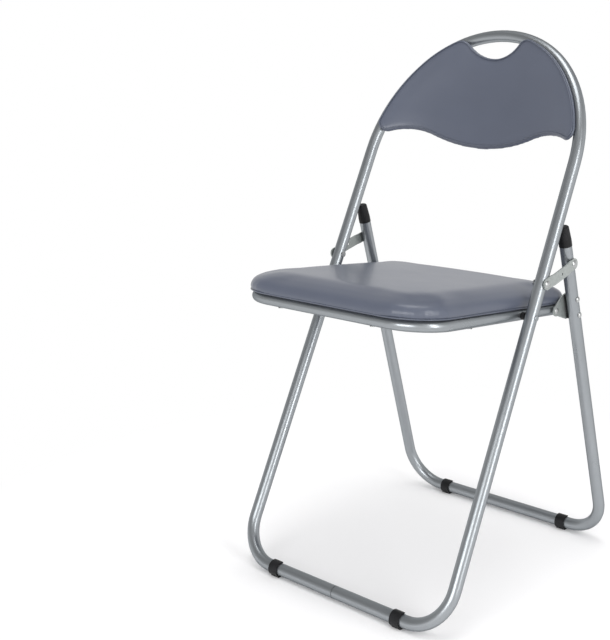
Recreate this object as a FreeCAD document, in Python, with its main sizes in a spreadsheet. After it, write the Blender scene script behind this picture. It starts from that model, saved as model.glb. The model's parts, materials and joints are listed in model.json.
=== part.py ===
# Folding dining chair: a tube loop with legs and back hoop, a rear tube frame, a padded seat
# on its own tube loop, a padded back, and a pair of links that fold it flat.
# Millimetres. X to the sitter's left, Y to the back, Z up, floor at Z = 0.
import FreeCAD, Part
import math
import os
import types

import Sketcher

Vector = FreeCAD.Vector
X_AXIS = Vector(1, 0, 0)
Z_AXIS = Vector(0, 0, 1)

# Driving dimensions: name, value and what it measures
DRIVING = [
    ("frame_half_width", 191.0, "middle of the chair to the centre of a frame leg"),
    ("tube_diameter", 18.0, "frame tube, outside"),
    ("tube_wall", 1.2, "wall of the frame and seat tubes"),
    ("floor_corner_radius", 60.0, "bend between leg and floor bar, at the tube centre"),
    ("leg_straight", 664.7, "floor bar to the start of the back hoop, along the front leg"),
    ("hoop_side_radius", 209.5, "bend at the sides of the back hoop"),
    ("hoop_side_angle", 45.0, "degrees of the side bend, before the tighter top bend"),
    ("front_lean", 26.9, "degrees that the front legs lean back"),
    ("rear_lean", 15.0, "degrees that the rear legs lean forward"),
    ("joint_gap", 1.0, "open line of a butt joint in a tube"),
    ("joiner_length", 60.0, "sleeve inside a butt joint"),
    ("joiner_wall", 1.0, "wall of that sleeve"),
    ("seat_pivot_height", 436.0, "front floor bar to the seat rivet, along the leg"),
    ("link_above_seat", 49.0, "seat rivet to the link rivet, along the leg"),
    ("link_length", 72.13, "between the rivets of a folding link"),
    ("link_rise", 14.915, "degrees that a link rises to the back"),
    ("bracket_offset", 27.0, "rear leg's centre line to the bracket pivot"),
    ("seat_side_gap", 6.0, "inside of a front leg to the outside of the seat rail"),
    ("seat_tube_diameter", 16.0, "seat tube, outside"),
    ("seat_front_reach", 208.0, "seat pivot to the front rail"),
    ("seat_rear_reach", 122.0, "seat pivot to the rear rail"),
    ("seat_front_corner", 58.0, "front corner bend of the seat loop"),
    ("seat_rear_corner", 34.0, "rear corner bend of the seat loop"),
    ("seat_board_thickness", 8.0, "panel under the seat cushion"),
    ("seat_overhang_front", 7.5, "cushion past the front rail's outside"),
    ("seat_overhang_side", 0.4, "cushion past the side rails' outside"),
    ("seat_overhang_rear", 8.0, "cushion past the rear rail's outside"),
    ("seat_pad_height", 29.0, "cushion from its rim to its crown"),
    ("cover_wrap", 4.0, "cover and foam round the edge of a board"),
    ("rivet_diameter", 6.0, "shank of the pivot rivets"),
    ("rivet_head_diameter", 11.0, "domed head of a rivet"),
    ("rivet_head_height", 2.4, "height of that head"),
    ("rivet_tail_height", 1.4, "flat tail of a rivet"),
    ("rivet_tail_flange", 1.5, "that tail past the shank"),
    ("bracket_rivet_diameter", 5.0, "shank of the bracket rivets"),
    ("bracket_rivet_spacing", 24.8, "between the two bracket rivets"),
    ("bracket_rivet_drop", 68.7, "link rivet to midway between the bracket rivets, down the rear leg"),
    ("bracket_rivet_flange", 2.0, "head of a bracket rivet past its shank"),
    ("bracket_rivet_tail", 1.0, "flat tail of a bracket rivet"),
    ("low_head_height", 1.5, "low head of the rivets that the seat swings on"),
    ("low_head_diameter", 9.0, "diameter of that low head"),
    ("bracket_thickness", 2.0, "plate of the bracket"),
    ("bracket_lug_radius", 8.0, "round end of the bracket at its pivot"),
    ("bracket_edge", 6.5, "metal past the bracket rivets"),
    ("bracket_saddle", 2.0, "saddle between bracket and leg, at its thinnest"),
    ("bracket_saddle_width", 8.0, "saddle across the leg"),
    ("link_width", 16.0, "width of a folding link"),
    ("link_thickness", 2.0, "plate of a folding link"),
    ("link_set_out", 1.4, "how far the middle of a link is pressed outwards"),
    ("link_set_out_start", 12.0, "rivet to the start of the pressed step"),
    ("link_step_length", 5.0, "length of the pressed step"),
    ("link_hole_diameter", 4.0, "small hole in the middle of a link"),
    ("pivot_spacer_diameter", 11.0, "black spacer on the seat rivet"),
    ("cap_height", 30.0, "black cap above the end of a rear leg"),
    ("cap_lip", 0.5, "how far the cap stands out past the tube"),
    ("cap_straight", 8.0, "straight part of the cap below its taper"),
    ("cap_top_diameter", 16.0, "top of the cap"),
    ("cap_top_round", 2.5, "rounding of that top"),
    ("cap_plug", 20.0, "plug of the cap inside the tube"),
    ("cap_leg_gap", 1.0, "top of the cap to the front leg behind which it stops"),
    ("foot_length", 16.0, "clip-on foot, along the floor bar"),
    ("foot_wall", 2.2, "wall and sole of the foot"),
    ("foot_sole_width", 11.0, "flat sole of the foot"),
    ("foot_corner_gap", 6.0, "end of a foot to the start of the floor corner"),
    ("foot_opening", 11.0, "open side of the clip"),
    ("foot_opening_tilt", 35.0, "degrees that the open side points up"),
    ("back_dish_radius", 400.0, "dish of the back board"),
    ("back_front_radius", 415.0, "flatter dish of the cushion's front"),
    ("back_board_thickness", 4.0, "board behind the back cushion"),
    ("back_dish_rise", 4.0, "start of the hoop to the middle of the dish"),
    ("back_edge_inset", 1.5, "hoop's centre line to the edge of the back"),
    ("back_edge_thickness", 8.85, "board and cushion at the edge over the tube"),
    ("back_edge_round", 4.0, "rounding of the cushion's front edge"),
    ("back_tube_gap", 1.85, "tube to the back board, at the sides of the hoop"),
    ("back_lobe_radius", 14.5, "rounded lower corner of the back"),
    ("back_lobe_rise", 30.5, "start of the hoop to the lowest point of that corner"),
    ("back_notch_radius", 92.0, "hollow beside the corner"),
    ("back_notch_rise", 43.0, "start of the hoop to the top of the hollow"),
    ("back_belly_rise", 24.8, "start of the hoop to the lowest point of the middle of the back"),
    ("hand_hole_half_width", 54.0, "hand scoop at the tube"),
    ("hand_hole_depth", 36.5, "top of the hoop to the bottom of the hand scoop"),
    ("hand_hole_round", 22.0, "rounded ends of the hand scoop"),
    ("screw_diameter", 4.0, "shank of the board screws"),
    ("screw_head_diameter", 7.0, "head of a board screw"),
    ("screw_head_height", 0.6, "height of that head"),
    ("seat_screw_place", 85.0, "middle of the seat to the front and rear screws"),
    ("seat_side_screw_place", 110.0, "seat pivot to the side screws, forward"),
    ("screw_bite", 4.0, "how deep a screw goes into the seat board"),
    ("back_screw_bite", 2.0, "how deep a screw goes into the back board"),
    ("screw_tip_room", 0.5, "room past the tip of a screw"),
    ("back_screw_low_angle", 14.0, "degrees round the hoop to the lower back screws"),
    ("back_screw_high_angle", 52.0, "degrees round the hoop to the upper back screws"),
    ("back_screw_inset", 5.4, "hoop's centre line to the back screws, inwards"),
    ("slip_fit", 0.05, "radial room in a rivet hole or a sleeve"),
    ("seat_fit", 0.1, "room between a board and what it lies on"),
    ("running_gap", 0.3, "room between faces that move past each other"),
]


class Size:
    """A length that keeps its value and the sheet expression that gives it."""

    def __init__(self, value, text):
        self.value = float(value)
        self.text = text

    def __add__(self, other):
        other = as_size(other)
        return Size(self.value + other.value, f"({self.text} + {other.text})")

    def __radd__(self, other):
        return as_size(other) + self

    def __sub__(self, other):
        other = as_size(other)
        return Size(self.value - other.value, f"({self.text} - {other.text})")

    def __rsub__(self, other):
        return as_size(other) - self

    def __mul__(self, number):
        return Size(self.value * number, f"({self.text} * {number})")

    def __truediv__(self, number):
        return Size(self.value / number, f"({self.text} / {number})")

    def __neg__(self):
        return Size(-self.value, f"(-1 * {self.text})")


def as_size(number):
    return number if isinstance(number, Size) else Size(number, str(number))


doc = FreeCAD.newDocument("folding_chair")
sheet = doc.addObject("Spreadsheet::Sheet", "Dims")
d = types.SimpleNamespace()


def keep(name, value, note):
    """Writes one size to the next row of the sheet and makes it available as d.name."""
    row = len(vars(d)) + 1
    sheet.set(f"A{row}", name)
    sheet.set(f"B{row}", str(value))
    sheet.set(f"C{row}", note)
    sheet.setAlias(f"B{row}", name)
    setattr(d, name, Size(value, f"Dims.{name}"))


for driving in DRIVING:
    keep(*driving)

# Worked-out sizes of the frames
tube_radius = d.tube_diameter / 2
seat_tube_radius = d.seat_tube_diameter / 2
bar_height = tube_radius + d.foot_wall
keep("seat_half_width", (d.frame_half_width - tube_radius - d.seat_side_gap - seat_tube_radius).value,
     "middle of the seat to the centre of a seat rail")
keep("foot_place", (d.frame_half_width - d.floor_corner_radius - d.foot_corner_gap
                    - d.foot_length / 2).value, "middle of the chair to a foot")
LEAN = math.radians(d.front_lean.value)
REAR_LEAN = math.radians(d.rear_lean.value)
BEND = math.radians(d.hoop_side_angle.value)
hoop_top_radius_value = (
    d.frame_half_width.value - d.hoop_side_radius.value * (1 - math.cos(BEND))
) / math.cos(BEND)
keep("hoop_top_radius", hoop_top_radius_value, "top bend of the hoop, tangent to the side bends")
keep("hoop_top_centre", d.leg_straight.value
     + (d.hoop_side_radius.value - hoop_top_radius_value) * math.sin(BEND), "centre of the top bend")
keep("bend_change_across", hoop_top_radius_value * math.cos(BEND), "where the two bends meet, across")
keep("bend_change_up", d.leg_straight.value + d.hoop_side_radius.value * math.sin(BEND),
     "where the two bends meet, along the leg")


class SidePoint:
    """A place in the chair's side view, Y to the back and Z up."""

    def __init__(self, y, z):
        self.y = y
        self.z = z

    def moved(self, direction, distance):
        return SidePoint(self.y + direction[0] * distance, self.z + direction[1] * distance)

    def to(self, other):
        return other.y - self.y, other.z - self.z


def solve_fold():
    """Places the four pivots so that the chair closes both open and folded flat.

    Folded, the seat rails lie in the plane of the front legs and the rear legs are parallel to
    them, so the bracket pivot is straight below the seat pivot. The distance from link rivet to
    bracket pivot along the rear leg follows from that.
    """
    front_bar = SidePoint(0.0, bar_height.value)
    up_front = (math.sin(LEAN), math.cos(LEAN))
    up_rear = (-math.sin(REAR_LEAN), math.cos(REAR_LEAN))
    forward = (-math.cos(REAR_LEAN), -math.sin(REAR_LEAN))
    seat = front_bar.moved(up_front, d.seat_pivot_height.value)
    link_front = seat.moved(up_front, d.link_above_seat.value)
    link_rear = link_front.moved((math.cos(LINK_RISE), math.sin(LINK_RISE)), d.link_length.value)
    rear_height = (link_rear.z - front_bar.z) / math.cos(REAR_LEAN)
    rear_bar = link_rear.moved(up_rear, -rear_height)
    offset = d.bracket_offset.value
    rest = math.sqrt(d.link_length.value ** 2 - offset ** 2) - d.link_above_seat.value
    reach = seat.to(link_rear.moved(forward, offset))
    down_reach = -(reach[0] * up_rear[0] + reach[1] * up_rear[1])
    bracket_drop = (math.hypot(*reach) ** 2 - rest ** 2) / (2 * (rest - down_reach))
    bracket = link_rear.moved(forward, offset).moved(up_rear, -bracket_drop)
    return front_bar, rear_bar, link_front, link_rear, seat, bracket, rear_height, bracket_drop


LINK_RISE = math.radians(d.link_rise.value)
(FRONT_BAR, REAR_BAR, LINK_FRONT, LINK_REAR, SEAT_PIVOT, BRACKET_PIVOT,
 rear_pivot_value, bracket_drop_value) = solve_fold()
SEAT_TILT = math.atan2(-SEAT_PIVOT.to(BRACKET_PIVOT)[1], SEAT_PIVOT.to(BRACKET_PIVOT)[0])
keep("bar_spacing", FRONT_BAR.to(REAR_BAR)[0], "front floor bar to rear floor bar")
keep("rear_pivot_height", rear_pivot_value, "rear floor bar to the link rivet, along the leg")
keep("bracket_drop", bracket_drop_value, "link rivet to bracket pivot, down the rear leg")
keep("seat_bracket_reach", math.hypot(*SEAT_PIVOT.to(BRACKET_PIVOT)), "seat pivot to bracket pivot")
link_pivot_height = d.seat_pivot_height + d.link_above_seat
# The rear legs end where their caps just clear the front legs
cap_top_value = (
    d.bar_spacing.value * math.cos(LEAN)
    - d.cap_top_diameter.value / 2 * math.cos(LEAN + REAR_LEAN)
    - tube_radius.value - d.cap_leg_gap.value
) / math.sin(LEAN + REAR_LEAN)
keep("rear_leg_length", cap_top_value - d.cap_height.value, "rear floor bar to the open end of the tube")

# The origin is on the floor, in the middle of the chair's depth from seat front to rear foot
seat_edge = d.seat_front_reach + seat_tube_radius + d.seat_overhang_front
SEAT_FRONT = SEAT_PIVOT.y - seat_edge.value * math.cos(SEAT_TILT) \
    + (seat_tube_radius.value + d.seat_pad_height.value * 0.4) * math.sin(SEAT_TILT)
FOOT_BACK = REAR_BAR.y + tube_radius.value + d.foot_wall.value
DEPTH_SHIFT = -(SEAT_FRONT + FOOT_BACK) / 2


def placed(point, tilt, x=0.0):
    """A local frame at a side-view point, turned about X by tilt radians."""
    base = Vector(x, point.y + DEPTH_SHIFT, point.z)
    return FreeCAD.Placement(base, FreeCAD.Rotation(X_AXIS, math.degrees(tilt)))


FRONT_FRAME = placed(FRONT_BAR, -LEAN)
REAR_FRAME = placed(REAR_BAR, REAR_LEAN)
SEAT_FRAME = placed(SEAT_PIVOT, -SEAT_TILT)

# The finished sub-parts, by label
finished = []


def finish(thing, label, placement):
    thing.Label = label
    thing.Placement = placement
    finished.append(thing)


def new_body(name):
    return doc.addObject("PartDesign::Body", name)


def origin_plane(body, role):
    return next(plane for plane in body.Origin.OriginFeatures if plane.Role == role)


def new_sketch(body, name, role, lift=None):
    """A sketch on one of the body's origin planes, lifted off it along the plane's normal."""
    sketch = body.newObject("Sketcher::SketchObject", name)
    sketch.AttachmentSupport = [(origin_plane(body, role), "")]
    sketch.MapMode = "FlatFace"
    if lift is not None:
        sketch.AttachmentOffset = FreeCAD.Placement(Vector(0, 0, lift.value), FreeCAD.Rotation())
        sketch.setExpression("AttachmentOffset.Base.z", lift.text)
    return sketch


def hold(sketch, kind, size, *points):
    """Adds one dimension to a sketch and binds it to the sheet."""
    index = sketch.addConstraint(Sketcher.Constraint(kind, *points, size.value))
    sketch.setExpression(f"Constraints[{index}]", size.text)


def pin(sketch, curve, point, x, y):
    """Holds one point of a sketch at x, y."""
    for kind, axis, size in (("DistanceX", -2, as_size(x)), ("DistanceY", -1, as_size(y))):
        if size.text == "0":
            sketch.addConstraint(Sketcher.Constraint("PointOnObject", curve, point, axis))
        else:
            hold(sketch, kind, size, -1, 1, curve, point)


def arc_between(start, end, radius, turn):
    """The short arc from start to end; turn is 1 anticlockwise, -1 clockwise."""
    chord = end - start
    rise = math.sqrt(max(radius ** 2 - (chord.Length / 2) ** 2, 0.0))
    side = Vector(-chord.y, chord.x, 0).normalize() * (rise * turn)
    centre = (start + end) / 2 + side
    first, last = (start, end) if turn > 0 else (end, start)
    angles = [math.atan2(p.y - centre.y, p.x - centre.x) for p in (first, last)]
    if angles[1] < angles[0]:
        angles[1] += 2 * math.pi
    return Part.ArcOfCircle(Part.Circle(centre, Z_AXIS, radius), *angles)


def draw(sketch, start, steps, closed=True):
    """Draws from point to point. A step is (x, y), or (x, y, radius, turn) for an arc."""
    here = Vector(as_size(start[0]).value, as_size(start[1]).value, 0)
    last_curve, last_point, first_end = None, None, None
    for number, step in enumerate(steps):
        there = Vector(as_size(step[0]).value, as_size(step[1]).value, 0)
        turn = step[3] if len(step) > 2 else 1
        if len(step) > 2:
            curve = sketch.addGeometry(arc_between(here, there, step[2].value, turn), False)
            hold(sketch, "Radius", step[2], curve)
        else:
            curve = sketch.addGeometry(Part.LineSegment(here, there), False)
        begin, end = (1, 2) if turn > 0 else (2, 1)
        if last_curve is None:
            pin(sketch, curve, begin, *start)
            first_end = (curve, begin)
        else:
            sketch.addConstraint(Sketcher.Constraint("Coincident", last_curve, last_point, curve, begin))
        if closed and number == len(steps) - 1:
            sketch.addConstraint(Sketcher.Constraint("Coincident", curve, end, *first_end))
        else:
            pin(sketch, curve, end, step[0], step[1])
        last_curve, last_point, here = curve, end, there


def draw_circle(sketch, x, y, radius):
    centre = Vector(as_size(x).value, as_size(y).value, 0)
    curve = sketch.addGeometry(Part.Circle(centre, Z_AXIS, radius.value), False)
    pin(sketch, curve, 3, x, y)
    hold(sketch, "Radius", radius, curve)


def draw_box(sketch, left, right, low, high):
    draw(sketch, (left, low), [(right, low), (right, high), (left, high), (left, low)])


def draw_round_box(sketch, half_width, low, high, low_radius, high_radius):
    """A box with rounded corners, symmetric about the sketch's second axis."""
    draw(sketch, (-half_width + low_radius, low), [
        (half_width - low_radius, low),
        (half_width, low + low_radius, low_radius, 1),
        (half_width, high - high_radius),
        (half_width - high_radius, high, high_radius, 1),
        (-half_width + high_radius, high),
        (-half_width, high - high_radius, high_radius, 1),
        (-half_width, low + low_radius),
        (-half_width + low_radius, low, low_radius, 1),
    ])


def pad(body, name, sketch, length, both_ways=False, backwards=False):
    feature = body.newObject("PartDesign::Pad", name)
    feature.Profile = sketch
    feature.Length = length.value
    feature.setExpression("Length", length.text)
    feature.SideType = "Symmetric" if both_ways else "One side"
    feature.Reversed = backwards
    return feature


def cut(body, name, sketch, depth, both_ways=False, backwards=False):
    """A pocket, which has to take some metal away."""
    doc.recompute()
    before = body.Shape.Volume
    feature = body.newObject("PartDesign::Pocket", name)
    feature.Profile = sketch
    feature.Length = depth.value
    feature.setExpression("Length", depth.text)
    feature.SideType = "Symmetric" if both_ways else "One side"
    feature.Reversed = backwards
    doc.recompute()
    if body.Shape.Volume >= before:
        raise RuntimeError(f"{body.Name}: {name} takes nothing away")
    return feature


def turned(body, name, sketch, axis_role):
    feature = body.newObject("PartDesign::Revolution", name)
    feature.Profile = sketch
    axis = next(line for line in body.Origin.OriginFeatures if line.Role == axis_role)
    feature.ReferenceAxis = (axis, [""])
    feature.Angle = 360
    return feature


def bend_tube(body, name, outside, wall, start, steps, path_role, section_role, section_place, lift=None):
    """A hollow tube swept along lines and tangent arcs, then mirrored about the chair's middle."""
    path = new_sketch(body, f"{name}_path", path_role)
    draw(path, start, steps, closed=False)
    section = new_sketch(body, f"{name}_section", section_role, lift)
    draw_circle(section, *section_place, outside / 2)
    draw_circle(section, *section_place, outside / 2 - wall)
    pipe = body.newObject("PartDesign::AdditivePipe", f"{name}_bend")
    pipe.Profile = section
    pipe.Spine = path
    doc.recompute()
    mirror = body.newObject("PartDesign::Mirrored", f"{name}_mirror")
    mirror.Originals = [pipe]
    mirror.MirrorPlane = (origin_plane(body, "YZ_Plane"), [""])
    body.Tip = mirror
    doc.recompute()


def drill(body, name, role, places, radius, depth):
    """Round holes through the whole body, square to one of its origin planes."""
    sketch = new_sketch(body, f"{name}_sketch", role)
    for x, y in places:
        draw_circle(sketch, x, y, radius)
    cut(body, name, sketch, depth, both_ways=True)


SIDES = (("left", -1), ("right", 1))


def hoop_point(angle, inset):
    """A point inside the hoop's centre line, by its bend angle in degrees: across and along the leg."""
    turn = math.radians(angle)
    if turn < BEND:
        reach = d.hoop_side_radius.value - inset
        across = d.frame_half_width.value - d.hoop_side_radius.value + reach * math.cos(turn)
        return across, d.leg_straight.value + reach * math.sin(turn)
    reach = d.hoop_top_radius.value - inset
    return reach * math.cos(turn), d.hoop_top_centre.value + reach * math.sin(turn)


def dish_centre(radius, edge):
    """Centre of a ball whose back is edge millimetres in front of the hoop's plane at its sides."""
    depth = math.sqrt(radius ** 2 - d.frame_half_width.value ** 2)
    return Vector(0, -edge - depth, d.leg_straight.value + d.back_dish_rise.value)


BACK_DISH = dish_centre(d.back_dish_radius.value, tube_radius.value + d.back_tube_gap.value)
for place, angle in (("low", d.back_screw_low_angle), ("high", d.back_screw_high_angle)):
    across_value, up_value = hoop_point(angle.value, d.back_screw_inset.value)
    board_back = BACK_DISH.y + math.sqrt(
        d.back_dish_radius.value ** 2 - across_value ** 2 - (up_value - BACK_DISH.z) ** 2)
    keep(f"back_screw_{place}_length", tube_radius.value + d.seat_fit.value - board_back
         + d.back_screw_bite.value, "back screw from its head to its tip")
    keep(f"back_screw_{place}_across", across_value, "back screw from the middle")
    keep(f"back_screw_{place}_up", up_value, "back screw along the leg")
BACK_SCREWS = [
    (across * side, up)
    for across, up in ((d.back_screw_low_across, d.back_screw_low_up),
                       (d.back_screw_high_across, d.back_screw_high_up))
    for side in (1, -1)
]
BACK_SCREW_LENGTHS = [length for length in (d.back_screw_low_length, d.back_screw_high_length) for _ in SIDES]
SEAT_SCREWS = [
    (d.seat_screw_place * side, -d.seat_front_reach) for side in (1, -1)
] + [
    (d.seat_screw_place * side, d.seat_rear_reach) for side in (1, -1)
] + [
    (d.seat_half_width * side, -d.seat_side_screw_place) for side in (1, -1)
]
rivet_hole = d.rivet_diameter / 2 + d.slip_fit
bracket_rivet_hole = d.bracket_rivet_diameter / 2 + d.slip_fit
screw_hole = d.screw_diameter / 2 + d.seat_fit
through = d.frame_half_width * 4
bracket_middle = d.rear_pivot_height - d.bracket_rivet_drop
BRACKET_RIVETS = [bracket_middle + d.bracket_rivet_spacing / 2, bracket_middle - d.bracket_rivet_spacing / 2]
bracket_pivot_height = d.rear_pivot_height - d.bracket_drop


def make_front_frame_tube():
    """Floor bar, leg and hoop of one side, then the other side."""
    body = new_body("front_frame_tube")
    half = d.frame_half_width
    corner = d.floor_corner_radius
    bend_tube(body, "front", d.tube_diameter, d.tube_wall, (d.joint_gap / 2, 0), [
        (half - corner, 0),
        (half, corner, corner, 1),
        (half, d.leg_straight),
        (d.bend_change_across, d.bend_change_up, d.hoop_side_radius, 1),
        (0, d.hoop_top_centre + d.hoop_top_radius, d.hoop_top_radius, 1),
    ], "XZ_Plane", "YZ_Plane", (0, 0), d.joint_gap / 2)
    drill(body, "rivet_holes", "YZ_Plane",
          [(0, link_pivot_height), (0, d.seat_pivot_height)], rivet_hole, through)
    drill(body, "screw_holes", "XZ_Plane", BACK_SCREWS, screw_hole, d.tube_diameter * 2)
    finish(body, "front_frame_tube", FRONT_FRAME)


def make_rear_frame_tube():
    body = new_body("rear_frame_tube")
    half = d.frame_half_width
    corner = d.floor_corner_radius
    bend_tube(body, "rear", d.tube_diameter, d.tube_wall, (0, 0), [
        (half - corner, 0),
        (half, corner, corner, 1),
        (half, d.rear_leg_length),
    ], "XZ_Plane", "YZ_Plane", (0, 0))
    drill(body, "rivet_holes", "YZ_Plane", [(0, height) for height in BRACKET_RIVETS],
          bracket_rivet_hole, through)
    finish(body, "rear_frame_tube", REAR_FRAME)


def make_seat_frame_tube():
    """Rear rail, side rail and front rail of one side, then the other side."""
    body = new_body("seat_frame_tube")
    half = d.seat_half_width
    rear = d.seat_rear_reach
    front = -d.seat_front_reach
    bend_tube(body, "seat", d.seat_tube_diameter, d.tube_wall, (d.joint_gap / 2, rear), [
        (half - d.seat_rear_corner, rear),
        (half, rear - d.seat_rear_corner, d.seat_rear_corner, -1),
        (half, front + d.seat_front_corner),
        (half - d.seat_front_corner, front, d.seat_front_corner, -1),
        (0, front),
    ], "XY_Plane", "YZ_Plane", (rear, 0), d.joint_gap / 2)
    drill(body, "rivet_holes", "YZ_Plane", [(0, 0), (d.seat_bracket_reach, 0)], rivet_hole, through)
    drill(body, "screw_holes", "XY_Plane", SEAT_SCREWS, screw_hole, d.seat_tube_diameter * 2)
    finish(body, "seat_frame_tube", SEAT_FRAME)


def make_joiner(label, outside, y, placement):
    """A short sleeve inside a tube, across a butt joint."""
    body = new_body(label)
    section = new_sketch(body, "sleeve_section", "YZ_Plane")
    radius = outside / 2 - d.tube_wall - d.slip_fit
    draw_circle(section, y, 0, radius)
    draw_circle(section, y, 0, radius - d.joiner_wall)
    pad(body, "sleeve", section, d.joiner_length, both_ways=True)
    finish(body, label, placement)


def make_rivet(label, placement, radius, head_radius, head, shank, tail_radius):
    """A rivet along X: the tail ends at 0, the domed head sits on the far end of the shank."""
    body = new_body(label)
    outline = new_sketch(body, "outline", "XZ_Plane")
    tail = d.rivet_tail_height
    dome_value = (head_radius.value ** 2 + head.value ** 2) / (2 * head.value)
    keep(f"{label}_dome", dome_value, "dome of the rivet head")
    steps = [(shank + head, 0), (shank, head_radius, getattr(d, f"{label}_dome"), 1), (shank, radius)]
    if tail_radius is None:
        steps += [(0, radius), (0, 0)]
        draw(outline, (0, 0), steps)
    else:
        steps += [(0, radius), (0, tail_radius), (-tail, tail_radius), (-tail, 0)]
        draw(outline, (-tail, 0), steps)
    turned(body, "turned", outline, "X_Axis")
    finish(body, label, placement)


def side_placement(frame, side, x, y, z):
    """A place in a frame's own coordinates, turned to face outwards on its side of the chair."""
    turn = FreeCAD.Rotation() if side > 0 else FreeCAD.Rotation(Z_AXIS, 180)
    return frame.multiply(FreeCAD.Placement(Vector(side * x, y, z), turn))


# Planes across the right side of the chair, from the middle outwards
rail_inner = d.seat_half_width - seat_tube_radius
rail_outer = d.seat_half_width + seat_tube_radius
leg_inner = d.frame_half_width - tube_radius
leg_outer = d.frame_half_width + tube_radius
bracket_outer = leg_inner - d.bracket_saddle
bracket_inner = bracket_outer - d.bracket_thickness
link_inner = leg_outer + d.running_gap
link_outer = link_inner + d.link_thickness


def make_pivot_rivets(name, side):
    radius = d.rivet_diameter / 2
    head = (d.rivet_head_diameter / 2, d.rivet_head_height)
    low_head = (d.low_head_diameter / 2, d.low_head_height)
    tail = radius + d.rivet_tail_flange
    gap = d.slip_fit
    make_rivet(f"seat_pivot_rivet_{name}",
               side_placement(FRONT_FRAME, side, (rail_inner - d.running_gap).value, 0,
                              d.seat_pivot_height.value),
               radius, *low_head, leg_outer - rail_inner + d.running_gap + gap, tail)
    make_rivet(f"link_front_rivet_{name}",
               side_placement(FRONT_FRAME, side, (leg_inner - gap).value, 0, link_pivot_height.value),
               radius, *head, link_outer - leg_inner + gap * 2, tail)
    make_rivet(f"bracket_pivot_rivet_{name}",
               side_placement(SEAT_FRAME, side, (rail_inner - gap).value,
                              d.seat_bracket_reach.value, 0),
               radius, *low_head, bracket_outer - rail_inner + gap * 2, tail)
    make_rivet(f"link_rear_rivet_{name}",
               side_placement(placed(LINK_REAR, 0.0), side, link_inner.value, 0, 0),
               radius, *head, d.link_thickness + gap, None)


def make_pivot_spacer(name, side):
    """Black spacer on the seat rivet, between seat rail and front leg."""
    label = f"seat_pivot_spacer_{name}"
    body = new_body(label)
    section = new_sketch(body, "ring", "YZ_Plane")
    draw_circle(section, 0, 0, d.pivot_spacer_diameter / 2)
    draw_circle(section, 0, 0, rivet_hole)
    pad(body, "spacer", section, leg_inner - rail_outer - d.running_gap - d.slip_fit)
    finish(body, label, side_placement(FRONT_FRAME, side, (rail_outer + d.running_gap).value, 0,
                                       d.seat_pivot_height.value))


def make_link(name, side):
    """Stamped strap with round ends; its middle is pressed outwards."""
    label = f"link_{name}"
    body = new_body(label)
    half = d.link_length / 2
    end = half + d.link_width / 2
    step_out = half - d.link_set_out_start
    step_in = step_out - d.link_step_length
    out = d.link_set_out
    thick = d.link_thickness
    edge = new_sketch(body, "edge_view", "XY_Plane")
    draw(edge, (0, -end), [
        (thick, -end), (thick, -step_out), (thick + out, -step_in), (thick + out, step_in),
        (thick, step_out), (thick, end), (0, end), (0, step_out), (out, step_in),
        (out, -step_in), (0, -step_out), (0, -end),
    ])
    pad(body, "strip", edge, d.link_width, both_ways=True)
    ends = new_sketch(body, "round_ends", "YZ_Plane")
    draw_box(ends, -end - d.link_width, end + d.link_width, -d.link_width, d.link_width)
    radius = d.link_width / 2
    draw(ends, (-half, -radius), [
        (half, -radius), (end, 0, radius, 1), (half, radius, radius, 1),
        (-half, radius), (-end, 0, radius, 1), (-half, -radius, radius, 1),
    ])
    cut(body, "round_off", ends, d.link_width * 2, both_ways=True)
    drill(body, "rivet_holes", "YZ_Plane", [(-half, 0), (half, 0)], rivet_hole, d.link_width * 2)
    drill(body, "middle_hole", "YZ_Plane", [(0, 0)], d.link_hole_diameter / 2, d.link_width * 2)
    middle = SidePoint((LINK_FRONT.y + LINK_REAR.y) / 2, (LINK_FRONT.z + LINK_REAR.z) / 2)
    finish(body, label, side_placement(placed(middle, LINK_RISE), side, link_inner.value, 0, 0))


def make_bracket(name, side):
    """Plate on the inner side of the rear leg, with a round lug at the seat rail."""
    label = f"seat_bracket_{name}"
    body = new_body(label)
    lug = d.bracket_lug_radius
    pivot = -d.bracket_offset
    top = BRACKET_RIVETS[0] + d.bracket_edge
    bottom = BRACKET_RIVETS[1] - d.bracket_edge
    start = bracket_inner if side > 0 else -bracket_outer
    outline = new_sketch(body, "outline", "YZ_Plane", start)
    draw(outline, (d.bracket_edge, bottom), [
        (d.bracket_edge, top), (-d.bracket_edge, top),
        (pivot, bracket_pivot_height + lug),
        (pivot - lug, bracket_pivot_height, lug, 1),
        (pivot, bracket_pivot_height - lug, lug, 1),
        (-d.bracket_edge, bottom), (d.bracket_edge, bottom),
    ])
    pad(body, "plate", outline, d.bracket_thickness)
    drill(body, "rivet_holes", "YZ_Plane", [(0, height) for height in BRACKET_RIVETS],
          bracket_rivet_hole, through)
    drill(body, "pivot_hole", "YZ_Plane", [(pivot, bracket_pivot_height)], rivet_hole, through)
    finish(body, label, REAR_FRAME)


def make_bracket_spacer(name, side):
    """Black saddle between the bracket plate and the round of the leg."""
    label = f"bracket_spacer_{name}"
    body = new_body(label)
    top = BRACKET_RIVETS[0] + d.bracket_edge
    bottom = BRACKET_RIVETS[1] - d.bracket_edge
    block = new_sketch(body, "block", "XY_Plane", bottom)
    half = d.bracket_saddle_width / 2
    faces = [bracket_outer, d.frame_half_width - d.tube_wall]
    low, high = faces if side > 0 else [-face for face in reversed(faces)]
    draw_box(block, low, high, -half, half)
    pad(body, "block", block, top - bottom)
    leg = new_sketch(body, "leg_round", "XY_Plane", bottom)
    draw_circle(leg, d.frame_half_width * side, 0, tube_radius + d.slip_fit)
    cut(body, "saddle", leg, through, both_ways=True)
    drill(body, "rivet_holes", "YZ_Plane", [(0, height) for height in BRACKET_RIVETS],
          bracket_rivet_hole, through)
    finish(body, label, REAR_FRAME)


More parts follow.
